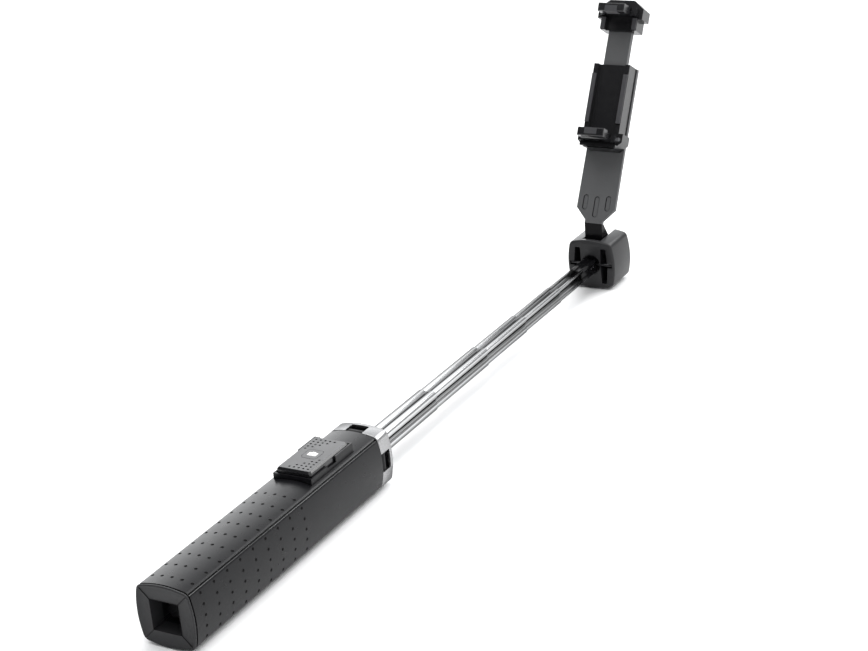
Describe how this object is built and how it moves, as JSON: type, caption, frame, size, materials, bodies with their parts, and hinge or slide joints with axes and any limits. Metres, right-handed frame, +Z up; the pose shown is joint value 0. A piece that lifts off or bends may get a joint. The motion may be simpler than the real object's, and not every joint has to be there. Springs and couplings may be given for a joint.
{
  "type": "selfie stick",
  "caption": "Telescopic selfie stick: four-leg folding handle, grooved chrome tube, tilting arm and phone clamp with folding hooks.",
  "frame": {"origin": "centre of the handle's end face, in the mouth of the square channel", "axes": "+Y along the stick from the handle's end to the head, +Z up through the leg that carries the remote, +X to the right seen from the handle's end"},
  "size_m": [0.0328, 0.5423, 0.1748],
  "materials": {
    "black_plastic": "satin black moulded plastic",
    "black_clamp": "fine matte black plastic",
    "arm_grey": "matte dark grey",
    "remote_grey": "matte dark grey",
    "collar_silver": "satin bright silver",
    "tube_chrome": "polished",
    "pin_steel": "ground steel",
    "foot_rubber": "matte black rubber",
    "pad_rubber": "soft dark grey pad",
    "icon_white": "white inlay",
    "led_clear": "dark clear lens",
    "board_green": "circuit board"
  },
  "bodies": {
    "stick_base": {"collar_ring": "collar_silver", "collar_core": "black_plastic", "leg_hinge_pins": "pin_steel", "tube_base": "tube_chrome", "base_plug": "black_plastic"},
    "leg_top": {"leg_shell_top": "black_plastic", "leg_spine_top": "black_plastic", "leg_foot_top": "foot_rubber", "remote_cradle": "black_plastic"},
    "leg_right": {"leg_shell_right": "black_plastic", "leg_spine_right": "black_plastic", "leg_foot_right": "foot_rubber"},
    "leg_bottom": {"leg_shell_bottom": "black_plastic", "leg_spine_bottom": "black_plastic", "leg_foot_bottom": "foot_rubber"},
    "leg_left": {"leg_shell_left": "black_plastic", "leg_spine_left": "black_plastic", "leg_foot_left": "foot_rubber"},
    "remote": {"remote_tray": "black_plastic", "remote_cover": "remote_grey", "remote_board": "board_green", "coin_cell": "pin_steel", "remote_led": "led_clear"},
    "button": {"shutter_button": "remote_grey", "button_icon": "icon_white"},
    "section_1": {"tube_1": "tube_chrome"},
    "section_2": {"tube_2": "tube_chrome"},
    "section_3": {"tube_3": "tube_chrome"},
    "section_4": {"tube_4": "tube_chrome"},
    "head": {"tube_5": "tube_chrome", "neck_plug": "black_plastic", "neck_rivets": "pin_steel", "head_block": "black_plastic", "cross_pin": "pin_steel", "arm_hinge_pin": "pin_steel"},
    "arm": {"arm_plate": "arm_grey", "clamp_housing": "black_clamp", "clamp_screw": "pin_steel", "back_pads_lower": "pad_rubber", "hook_pin_lower": "pin_steel"},
    "hook_low": {"hook_lower": "black_clamp", "hook_pad_lower": "pad_rubber"},
    "jaw": {"clamp_slider": "arm_grey", "clamp_top": "black_clamp", "back_pad_upper": "pad_rubber", "hook_pin_upper": "pin_steel"},
    "hook_high": {"hook_upper": "black_clamp", "hook_pad_upper": "pad_rubber"}
  },
  "joints": [
    {"name": "leg_top_open", "type": "hinge", "parent": "stick_base", "child": "leg_top", "pos_m": [0, 0.1725, 0.013], "axis": [-1, 0, 0], "range_deg": [0, 60]},
    {"name": "leg_right_open", "type": "hinge", "parent": "stick_base", "child": "leg_right", "pos_m": [0.013, 0.1725, 0], "axis": [0, 0, 1], "range_deg": [0, 60]},
    {"name": "leg_bottom_open", "type": "hinge", "parent": "stick_base", "child": "leg_bottom", "pos_m": [0, 0.1725, -0.013], "axis": [1, 0, 0], "range_deg": [0, 60]},
    {"name": "leg_left_open", "type": "hinge", "parent": "stick_base", "child": "leg_left", "pos_m": [-0.013, 0.1725, 0], "axis": [0, 0, -1], "range_deg": [0, 60]},
    {"name": "remote_lift", "type": "slide", "parent": "leg_top", "child": "remote", "axis": [0, 0, 1], "range_m": [0, 0.015]},
    {"name": "shutter_press", "type": "slide", "parent": "remote", "child": "button", "axis": [0, 0, 1], "range_m": [-0.0005, 0], "stiffness_N_per_m": 400},
    {"name": "section_1_slide", "type": "slide", "parent": "stick_base", "child": "section_1", "axis": [0, 1, 0], "range_m": [-0.0669, 0.078]},
    {"name": "section_2_slide", "type": "slide", "parent": "section_1", "child": "section_2", "axis": [0, 1, 0], "range_m": [-0.0625, 0.08]},
    {"name": "section_3_slide", "type": "slide", "parent": "section_2", "child": "section_3", "axis": [0, 1, 0], "range_m": [-0.0505, 0.09]},
    {"name": "section_4_slide", "type": "slide", "parent": "section_3", "child": "section_4", "axis": [0, 1, 0], "range_m": [-0.0482, 0.09]},
    {"name": "section_5_slide", "type": "slide", "parent": "section_4", "child": "head", "axis": [0, 1, 0], "range_m": [-0.0542, 0.089]},
    {"name": "arm_tilt", "type": "hinge", "parent": "head", "child": "arm", "pos_m": [0, 0.4735, 0.011], "axis": [-1, 0, 0], "range_deg": [-28, 59]},
    {"name": "hook_low_fold", "type": "hinge", "parent": "arm", "child": "hook_low", "pos_m": [0, 0.48468, 0.07846], "axis": [1, 0, 0], "range_deg": [-85, 0]},
    {"name": "jaw_slide", "type": "slide", "parent": "arm", "child": "jaw", "axis": [0, 0.506, 0.8625], "range_m": [-0.021, 0.008]},
    {"name": "hook_high_fold", "type": "hinge", "parent": "jaw", "child": "hook_high", "pos_m": [0, 0.52663, 0.14996], "axis": [-1, 0, 0], "range_deg": [-85, 0]}
  ]
}
